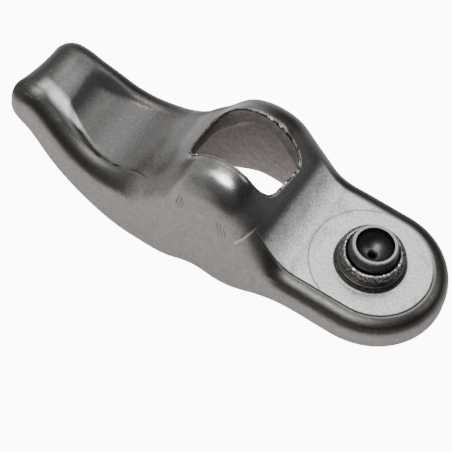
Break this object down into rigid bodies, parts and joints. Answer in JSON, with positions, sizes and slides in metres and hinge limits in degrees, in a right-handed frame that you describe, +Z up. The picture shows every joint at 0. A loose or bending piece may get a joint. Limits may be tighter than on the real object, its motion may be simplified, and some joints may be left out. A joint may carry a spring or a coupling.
{
  "type": "rocker arm",
  "caption": "Stamped steel rocker arm: open boat-shaped body with a windowed fulcrum hump, a dished valve tip, and a flat pad carrying a ball socket in a drawn collar.",
  "frame": {"origin": "centre of the bounding box on the floor, with the part resting on its open rim", "axes": "+X from the valve tip towards the push rod socket, +Z up; the socket's mouth opens upwards and leans 9.3 degrees towards +X"},
  "size_m": [0.1012, 0.032, 0.0307],
  "materials": {
    "rocker_body": "tumbled stamped sheet, satin walls, brighter coined pad",
    "pushrod_socket": "hardened, dark oxide, mouth rim worn bright"
  },
  "bodies": {
    "root": {"rocker_body": "rocker_body", "pushrod_socket": "pushrod_socket"}
  },
  "joints": []
}
